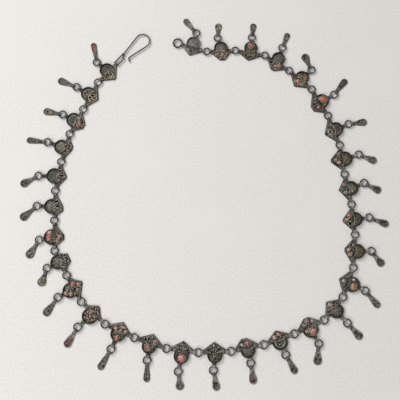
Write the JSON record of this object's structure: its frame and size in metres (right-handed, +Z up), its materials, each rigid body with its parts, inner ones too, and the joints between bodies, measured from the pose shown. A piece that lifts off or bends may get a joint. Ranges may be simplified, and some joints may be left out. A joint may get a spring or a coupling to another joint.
{
  "type": "belt",
  "caption": "Jewelled chain belt of linked metal plaques with domed coral stones, paddle drops on jump rings, a wire hook and an end ring, laid open on its back.",
  "frame": {"origin": "middle of the bounding box, on the surface that the belt lies on", "axes": "+Z up from the surface, out of the stones' side; +Y from the closed side of the loop to the side with the hook and the end ring; +X to the right of that, seen from above"},
  "size_m": [0.3127, 0.3211, 0.0034],
  "materials": {
    "plate_metal": "dark tarnish",
    "wire_metal": "dull, worn",
    "coral": "polished"
  },
  "bodies": {
    "root": {"plaque_01": "plate_metal", "plaque_02": "plate_metal", "plaque_03": "plate_metal", "plaque_04": "plate_metal", "plaque_05": "plate_metal", "plaque_06": "plate_metal", "plaque_07": "plate_metal", "plaque_08": "plate_metal", "plaque_09": "plate_metal", "plaque_10": "plate_metal", "plaque_11": "plate_metal", "plaque_12": "plate_metal", "plaque_13": "plate_metal", "plaque_14": "plate_metal", "plaque_15": "plate_metal", "plaque_16": "plate_metal", "plaque_17": "plate_metal", "plaque_18": "plate_metal", "plaque_19": "plate_metal", "plaque_20": "plate_metal", "plaque_21": "plate_metal", "plaque_22": "plate_metal", "plaque_23": "plate_metal", "plaque_24": "plate_metal", "plaque_25": "plate_metal", "plaque_26": "plate_metal", "plaque_27": "plate_metal", "plaque_28": "plate_metal", "plaque_29": "plate_metal", "plaque_30": "plate_metal", "drops": "plate_metal", "coral_01": "coral", "coral_02": "coral", "coral_03": "coral", "coral_04": "coral", "coral_05": "coral", "coral_06": "coral", "coral_07": "coral", "coral_08": "coral", "coral_09": "coral", "coral_10": "coral", "small_stones": "coral", "link_rings": "wire_metal", "drop_rings": "wire_metal", "hook": "wire_metal", "end_ring": "wire_metal"}
  },
  "joints": []
}
